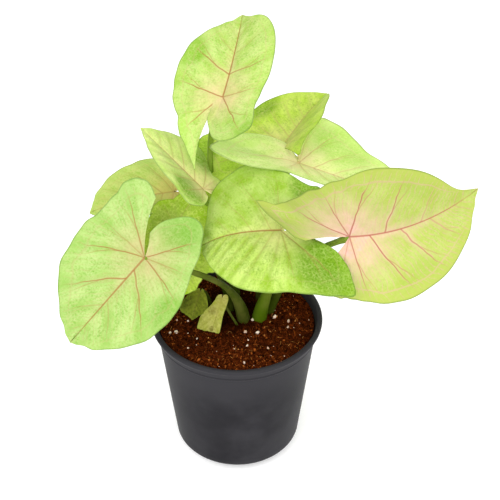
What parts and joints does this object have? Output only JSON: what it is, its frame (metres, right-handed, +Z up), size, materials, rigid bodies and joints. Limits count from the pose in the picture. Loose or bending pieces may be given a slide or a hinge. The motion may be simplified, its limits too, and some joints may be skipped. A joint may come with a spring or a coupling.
{
  "type": "potted arrowhead plant",
  "caption": "Arrowhead plant with broad lime and pink heart-shaped leaves on long stalks, growing in soil in a black plastic nursery pot.",
  "frame": {"origin": "centre of the pot's flat underside, on the pot's axis", "axes": "+Z up along the pot's axis, -Y towards the front of the plant, +X towards its right as seen from the front"},
  "size_m": [0.2496, 0.1775, 0.2726],
  "materials": {
    "pot_plastic": "satin",
    "potting_soil": "matte",
    "leaf_lime": "satin",
    "leaf_pink": "satin",
    "leaf_shaded": "satin",
    "leaf_withered": "matte",
    "petiole": "satin"
  },
  "bodies": {
    "root": {"pot": "pot_plastic", "soil": "potting_soil", "top_blade": "leaf_lime", "top_petiole": "petiole", "back_right_blade": "leaf_lime", "back_right_petiole": "petiole", "upper_right_blade": "leaf_lime", "upper_right_petiole": "petiole", "right_blade": "leaf_pink", "right_petiole": "petiole", "front_blade": "leaf_lime", "front_petiole": "petiole", "left_blade": "leaf_lime", "left_petiole": "petiole", "back_left_blade": "leaf_lime", "back_left_petiole": "petiole", "upper_left_blade": "leaf_lime", "upper_left_petiole": "petiole", "inner_left_blade": "leaf_shaded", "inner_left_petiole": "petiole", "low_left_blade": "leaf_shaded", "low_left_petiole": "petiole", "low_front_blade": "leaf_withered", "low_front_petiole": "petiole"}
  },
  "joints": []
}
